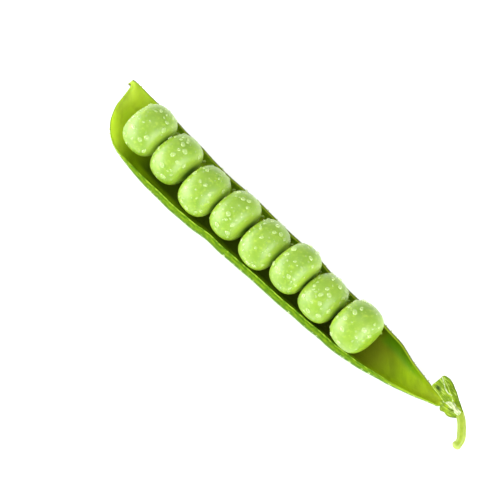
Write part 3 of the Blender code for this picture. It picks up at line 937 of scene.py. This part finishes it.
# %% Measures of the calyx
LEAF_STEPS = 48
LOWER_SEPAL = {  # what the two lower ones share
    "trough": 0.2, "wave": 0.1, "hollow": (0.5, 0.0, 0.3),
    "half_widths": [(0.0, 0.4), (0.6, 0.6), (0.9, 0.35), (1.0, 0.12)]}
LEAVES = {  # paths run from foot to tip, in mm from the beak; hollow: place along, across, depth
    "upper_sepal_1": {
        "path": [(94.2, 7.3, 6.0), (92.6, 7.65, 6.5), (90.75, 8.12, 6.8), (89.3, 8.35, 6.9)],
        "facing": (0.0, -0.35, 1.0), "trough": 0.15, "wave": 0.3, "hollow": (0.76, -0.42, 1.1),
        "half_widths": [(0.0, 0.5), (0.2, 0.9), (0.5, 1.15), (0.8, 1.35), (0.97, 1.38), (1.0, 1.15)]},
    "upper_sepal_2": {
        "path": [(96.6, 7.9, 4.75), (94.3, 8.95, 5.2), (92.4, 9.6, 5.6), (90.4, 9.95, 5.9), (89.2, 9.8, 6.0)],
        "facing": (0.0, -0.5, 0.85), "trough": 0.15, "wave": 0.2, "hollow": (0.66, 0.1, 0.4),
        "dark_edge": 1.0,
        "half_widths": [(0.0, 0.6), (0.3, 0.6), (0.55, 0.75), (0.8, 0.95), (0.95, 0.7), (1.0, 0.35)]},
    "side_sepal": {
        "path": [(96.6, 7.1, 4.5), (95.3, 6.35, 4.65), (94.0, 6.05, 4.7), (92.9, 6.1, 4.6)],
        "facing": (0.0, -0.8, 0.6), "trough": 0.1, "wave": 0.25, "hollow": (0.38, 0.0, 0.4),
        "dark_edge": -1.0,
        "half_widths": [(0.0, 0.45), (0.35, 0.75), (0.75, 0.7), (0.95, 0.4), (1.0, 0.2)]},
    "lower_sepal_1": {
        **LOWER_SEPAL, "facing": (0.0, 0.2, 1.0),
        "path": [(96.5, 7.35, 3.9), (94.9, 6.95, 3.05), (92.8, 6.65, 2.7)]},
    "lower_sepal_2": {
        **LOWER_SEPAL, "facing": (0.0, -0.3, 1.0),
        "path": [(96.5, 7.85, 3.9), (94.8, 8.25, 3.1), (92.4, 8.4, 2.85)]},
    "stamen_sheath": {
        "path": [(96.7, 7.4, 5.5), (95.4, 7.25, 6.05), (94.5, 7.4, 6.2), (93.7, 7.15, 6.2),
                 (92.8, 6.65, 6.0)],
        "facing": (0.0, -0.3, 1.0), "trough": -0.3, "wave": 0.4, "hollow": (0.31, 0.9, 0.6),
        "half_widths": [(0.0, 0.45), (0.18, 0.6), (0.33, 0.4), (0.5, 0.6), (0.8, 0.45), (1.0, 0.15)]},
}
CUP = [(92.3, 6.6, 4.4), (93.8, 7.2, 4.5), (95.3, 7.7, 4.5), (96.6, 7.6, 4.4)]
CUP_STEPS = 30
CUP_RADII = [(0.0, 0.6), (0.2, 0.95), (0.5, 1.1), (0.8, 1.05), (1.0, 0.88)]
THREAD = [(93.2, 8.5, 6.7), (91.65, 8.33, 7.3), (90.35, 9.0, 7.55), (89.35, 9.5, 7.6)]
THREAD_RADII = (0.12, 0.09)
print("leaves:", ", ".join(LEAVES))

# %% Finish of the leaves and the dry remains
def leaf_finish():
    spot = place_mm()
    sideways, hollow = paint("sideways"), paint("hollow")
    clouds = noise(spot, 1.0, 3.0)
    veins = noise(stretched(spot, 0.6, 3.5, 3.5), 1.2, 2.0)
    colour = mix(srgb(84, 116, 0), srgb(154, 180, 22), clouds.step(0.25, 0.75))
    # painted shade: darker down the middle of the leaf's trough
    colour = mix(colour, srgb(78, 108, 0), sideways.step(0.75, 0.25) * 0.6)
    colour = mix(colour, srgb(176, 196, 96), veins.step(0.52, 0.68) * 0.6)
    # painted light: lighter along the curled edges
    colour = mix(colour, srgb(170, 192, 88), sideways.step(0.82, 0.98) * 0.7)
    # painted shade: dark in the hollow of the curl
    colour = mix(colour, srgb(42, 68, 0), hollow.step(0.06, 1.1))
    # painted shade: darker along one outer edge
    colour = mix(colour, srgb(64, 88, 8), paint("dark_edge") * 0.8)
    return {"Base Color": colour, "Roughness": 0.55, "Normal": bump(veins, 0.06), "Specular IOR Level": 0.2,
            **below_skin(0.2, 0.4, (0.7, 1.0, 0.2))}


def dry_finish():
    spot = place_mm()
    veins = noise(stretched(spot, 0.6, 4.0, 4.0), 1.0, 2.0)
    dry = mix(srgb(124, 146, 72), srgb(186, 196, 152), veins.step(0.38, 0.58))
    # painted shade: darker in the sheath's hollow
    dry = mix(dry, srgb(104, 116, 80), paint("hollow"))
    return {"Base Color": dry, "Roughness": 0.7, "Normal": bump(veins, 0.05),
            **below_skin(0.2, 0.3, (1.0, 1.0, 0.7))}


leaf_material = new_material("calyx_leaf", leaf_finish)
dry_material = new_material("dry_stamen", dry_finish)
print("nodes of the two finishes:", len(leaf_material.node_tree.nodes), len(dry_material.node_tree.nodes))

# %% The calyx's pieces
def cup_rings():
    """Round rings whose radius waves: five lobes that fade towards the stem, and thirteen fine ribs."""
    share = np.linspace(0.0, 1.0, CUP_STEPS)
    turn = full_turn(ROD_SIDES)
    ribs = 0.05 * np.cos(5.0 * turn) * (1.0 - share[:, None]) + 0.03 * np.cos(13.0 * turn)
    rings = rod_rings(along_path(from_beak(CUP), CUP_STEPS), between(share, CUP_RADII), ribs)
    plain = np.zeros_like(ribs)
    # The cup's ribs reuse sideways: painted shade in their grooves and painted light on their crests.
    return rings, {"sideways": 0.6 + 4.0 * ribs, "hollow": plain, "dark_edge": plain}


for i, (name, leaf) in enumerate(LEAVES.items()):
    rings, painted = leaf_rings(leaf, LEAF_STEPS, 60 + 3 * i)
    dry = name == "stamen_sheath"
    material = dry_material if dry else leaf_material
    ring_piece(f"curled_{name}", rings, material, painted, [name])
cup, cup_paint = cup_rings()
ring_piece("ribbed_cup", cup, leaf_material, cup_paint, ["calyx_cup"])
thread = rod_rings(along_path(from_beak(THREAD), LEAF_STEPS), np.linspace(*THREAD_RADII, LEAF_STEPS))
ring_piece("fine_thread", thread, dry_material, {"hollow": np.zeros(thread.shape[:2])},
           ["stamen_thread"])
print("rings of the cup:", cup.shape, "and of the thread:", thread.shape)

# %% [markdown]
# ## Stem
#
# The stem leaves the cup, bends away and droops. Fine ribs run along it, and its cut end is pale and a
# little swollen. A plain tube along a curve would be quicker, but it would be evenly thick and quite smooth.

# %% Shape of the stem
STEM_STEPS = 90
STEM_RADII = [(0.0, 0.9), (0.2, 0.82), (0.6, 0.84), (0.8, 0.8), (0.92, 0.9), (1.0, 0.92)]
CUT_LENGTH = 0.1  # share of the stem over which its cut end is rounded off
STEM = [(96.3, 7.75, 4.4), (96.75, 7.6, 4.38), (97.55, 7.17, 4.25), (98.4, 6.5, 4.0), (99.24, 5.7, 3.65),
        (99.9, 5.0, 3.3), (100.25, 4.4, 3.0), (100.36, 3.75, 2.7), (100.3, 2.8, 2.25)]


def stem_skin():
    """Round rings along the stem, ribbed by a cosine of six around, and how far along each point is."""
    knots = from_beak(STEM)
    share = np.linspace(0.0, 1.0, STEM_STEPS)
    at_knots = np.linspace(0.0, 1.0, len(knots))
    path = np.stack([smooth(at_knots, column, share) for column in knots.T], axis=-1)
    cut = ((share - (1.0 - CUT_LENGTH)) / CUT_LENGTH).clip(0.0)
    radii = between(share, STEM_RADII) * np.sqrt(np.clip(1.0 - cut ** 3, 0.15, 1.0))
    turn = full_turn(ROD_SIDES)
    ribs = 0.05 * np.cos(6.0 * turn + 1.0) * (1.0 - share[:, None] ** 6)
    bumps = 0.02 * ripple(share * 8.0, 1.5, 9)[:, None]
    return rod_rings(path, radii, ribs + bumps), np.broadcast_to(share[:, None], ribs.shape)


stem_rings, stem_end = stem_skin()
print("rings of the stem:", stem_rings.shape)

# %% Finish of the stem
def stem_finish():
    spot = place_mm()
    end = paint("end")
    streaks = noise(spot, 1.6, 2.0)
    colour = mix(srgb(112, 136, 8), srgb(150, 168, 44), streaks)
    colour = mix(colour, srgb(158, 174, 84), end.step(0.84, 0.97) * 0.8)
    return {"Base Color": colour, "Roughness": 0.4, "Normal": bump(streaks, 0.04),
            **below_skin(0.3, 0.6, (0.7, 1.0, 0.15))}


stem_material = new_material("stem_green", stem_finish)
ring_piece("ribbed_stem", stem_rings, stem_material, {"end": stem_end}, ["stem"])
print("nodes of the stem's finish:", len(stem_material.node_tree.nodes))

# %% [markdown]
# ## Dew
#
# The peas were rinsed: clear beads of water stand on them and on the wall. A bead is half of a flattened
# ball whose foot lies just under the skin. Places are drawn at random from the skin's points that face
# upwards, and a place too near an earlier one is dropped, all in one table of distances. A particle system
# could scatter them too, but some would run into each other. The creases between the peas stay dry.

# %% Places for the beads
BEAD_ROOM = 1.25  # beads keep this many times the sum of their radii apart
PEA_BEADS = (72, 0.13, 0.58)  # places tried on a pea, smallest and largest radius
WALL_BEADS = (110, 0.08, 0.28)  # the same on the wall


def ring_normals(rings):
    """Outward unit vectors of a skin of rings: across the two directions of its grid."""
    around = np.roll(rings, -1, axis=1) - np.roll(rings, 1, axis=1)
    along = np.gradient(rings, axis=0)
    normals = unit(np.cross(around, along))
    outward = ((rings - rings.mean(axis=1, keepdims=True)) * normals).sum()
    return normals * np.sign(outward)


def bead_places(rings, count, smallest, largest, keep, seed):
    """Centres, normals and radii of beads on the skin, small ones being the most common."""
    draw = np.random.default_rng(seed)
    points, normals = rings.reshape(-1, 3), ring_normals(rings).reshape(-1, 3)
    choice = draw.choice(np.flatnonzero(keep(normals)), count, replace=False)
    radii = np.sort(smallest * (largest / smallest) ** (draw.random(count) ** 1.3))[::-1]
    apart = np.linalg.norm(points[choice][:, None] - points[choice][None], axis=-1)
    crowded = np.tril(apart < BEAD_ROOM * (radii[:, None] + radii[None]), -1).any(axis=1)
    chosen = choice[~crowded]
    return points[chosen], normals[chosen], radii[~crowded]


print("normals of the wall:", ring_normals(valve_rings).shape)

# %% Beads of water
BEAD_SIDES = 12
BEAD_LEVELS = 4
BEAD_START = -0.25  # the lowest ring's angle below the skin
BEAD_FOOT = 0.14  # how deep the foot lies, as a share of the radius
BEAD_TOP = 1.12  # the top, as a share of the highest ring's height


def add_dew(name, places, seed):
    """All beads of one skin as one mesh: rings at rising angles of a ball that is squashed and drawn out."""
    draw = np.random.default_rng(seed)
    centres, normals, radii = places
    count = len(radii)
    side = unit(np.cross(normals, (0.31, 0.62, 0.72)))
    other = np.cross(normals, side)
    angle = full_turn(BEAD_SIDES)
    level = np.linspace(BEAD_START, math.pi / 2.0, BEAD_LEVELS + 1)[:-1]
    stretch = draw.uniform(0.8, 1.25, (count, 1, 1))
    flat = radii[:, None, None] * np.cos(level)[:, None]
    tall = radii[:, None] * draw.uniform(0.45, 0.65, (count, 1)) * np.sin(level)
    rings = (centres[:, None, None]
             + (flat * stretch * np.cos(angle))[..., None] * side[:, None, None]
             + (flat / stretch * np.sin(angle))[..., None] * other[:, None, None]
             + tall[:, :, None, None] * normals[:, None, None])
    top = centres + normals * (tall[:, -1] * BEAD_TOP)[:, None]
    foot = centres - normals * (radii * BEAD_FOOT)[:, None]
    points = np.concatenate([rings.reshape(count, -1, 3), foot[:, None], top[:, None]], axis=1)
    one, _ = ring_faces(BEAD_LEVELS, BEAD_SIDES)
    quads = np.array([face for face in one if len(face) == 4])
    fans = np.array([face for face in one if len(face) == 3])
    start = np.arange(count)[:, None, None] * points.shape[1]
    faces = (quads + start).reshape(-1, 4).tolist() + (fans + start).reshape(-1, 3).tolist()
    high = np.concatenate([np.repeat(np.sin(level).clip(0.0), BEAD_SIDES), [0.0, 1.0]])
    painted = {"high": np.tile(high, count)}
    finish_piece(name, points.reshape(-1, 3), faces, water, painted=painted)
    return count


# The beads' pale colour, denser at the foot than at the top, is painted light: it stands in for the light
# that a clear drop bends and reflects at its rim.
def water_finish():
    return {"Base Color": srgb(216, 238, 164), "Roughness": 0.06, "IOR": 1.5,
            "Alpha": 0.48 - 0.24 * paint("high"), "Coat Weight": 1.0, "Coat Roughness": 0.02}


def off_the_creases(normals):
    """Skin that faces up and does not face the next pea."""
    return (normals[:, 2] > 0.05) & (np.abs(normals[:, 0]) < 0.88)


def nearly_level(normals):
    """Skin that faces nearly straight up."""
    return normals[:, 2] > 0.7


water = new_material("water_drop", water_finish)
drops = 0
for number, (rings, _) in pea_skins.items():
    places = bead_places(rings, *PEA_BEADS, off_the_creases, 200 + number)
    drops += add_dew(f"dew_on_pea_{number}", places, 300 + number)
wall_top = valve_rings[:, OUTSIDE_POINTS:]
drops += add_dew("dew_on_pod", bead_places(wall_top, *WALL_BEADS, nearly_level, 220), 320)
print("drops:", drops)
